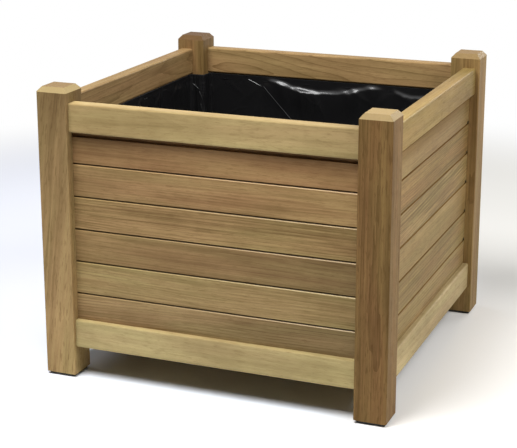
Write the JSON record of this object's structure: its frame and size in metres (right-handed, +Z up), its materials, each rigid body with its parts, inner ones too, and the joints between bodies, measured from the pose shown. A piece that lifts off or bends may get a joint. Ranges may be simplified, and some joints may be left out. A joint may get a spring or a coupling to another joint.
{
  "type": "square planter",
  "caption": "Square garden planter with four chamfered posts, framed tongued and grooved board sides, a slatted floor and a film liner.",
  "frame": {"origin": "on the floor under the centre of the square plan, level with the undersides of the foot pads", "axes": "+Z up, -Y out of the front panel, +X to the right as seen from the front"},
  "size_m": [0.5, 0.5, 0.414],
  "materials": {
    "post_wood": "planed hardwood, oiled, mid brown with straight grain",
    "rail_wood": "planed hardwood, oiled, pale gold with gentle flame grain",
    "board_wood": "planed hardwood, oiled, boards vary from pale to mid brown",
    "base_wood": "sawn and planed hardwood, unoiled",
    "liner_film": "black polythene film, glossy and wrinkled",
    "pad_rubber": "black rubber, matt",
    "screw_steel": "zinc plated steel",
    "staple_wire": "bright steel wire"
  },
  "bodies": {
    "root": {"post_front_left": "post_wood", "post_front_right": "post_wood", "post_rear_right": "post_wood", "post_rear_left": "post_wood", "top_rail_front": "rail_wood", "bottom_rail_front": "rail_wood", "top_rail_right": "rail_wood", "bottom_rail_right": "rail_wood", "top_rail_rear": "rail_wood", "bottom_rail_rear": "rail_wood", "top_rail_left": "rail_wood", "bottom_rail_left": "rail_wood", "board_front_1": "board_wood", "board_front_2": "board_wood", "board_front_3": "board_wood", "board_front_4": "board_wood", "board_front_5": "board_wood", "board_front_6": "board_wood", "board_right_1": "board_wood", "board_right_2": "board_wood", "board_right_3": "board_wood", "board_right_4": "board_wood", "board_right_5": "board_wood", "board_right_6": "board_wood", "board_rear_1": "board_wood", "board_rear_2": "board_wood", "board_rear_3": "board_wood", "board_rear_4": "board_wood", "board_rear_5": "board_wood", "board_rear_6": "board_wood", "board_left_1": "board_wood", "board_left_2": "board_wood", "board_left_3": "board_wood", "board_left_4": "board_wood", "board_left_5": "board_wood", "board_left_6": "board_wood", "bearer_front": "base_wood", "bearer_rear": "base_wood", "slat_1": "base_wood", "slat_2": "base_wood", "slat_3": "base_wood", "slat_4": "base_wood", "slat_5": "base_wood", "slat_6": "base_wood", "slat_7": "base_wood", "liner": "liner_film", "liner_staples": "staple_wire", "slat_screws": "screw_steel", "bearer_screws": "screw_steel", "foot_pad_screws": "screw_steel", "foot_pad_front_left": "pad_rubber", "foot_pad_front_right": "pad_rubber", "foot_pad_rear_right": "pad_rubber", "foot_pad_rear_left": "pad_rubber"}
  },
  "joints": []
}
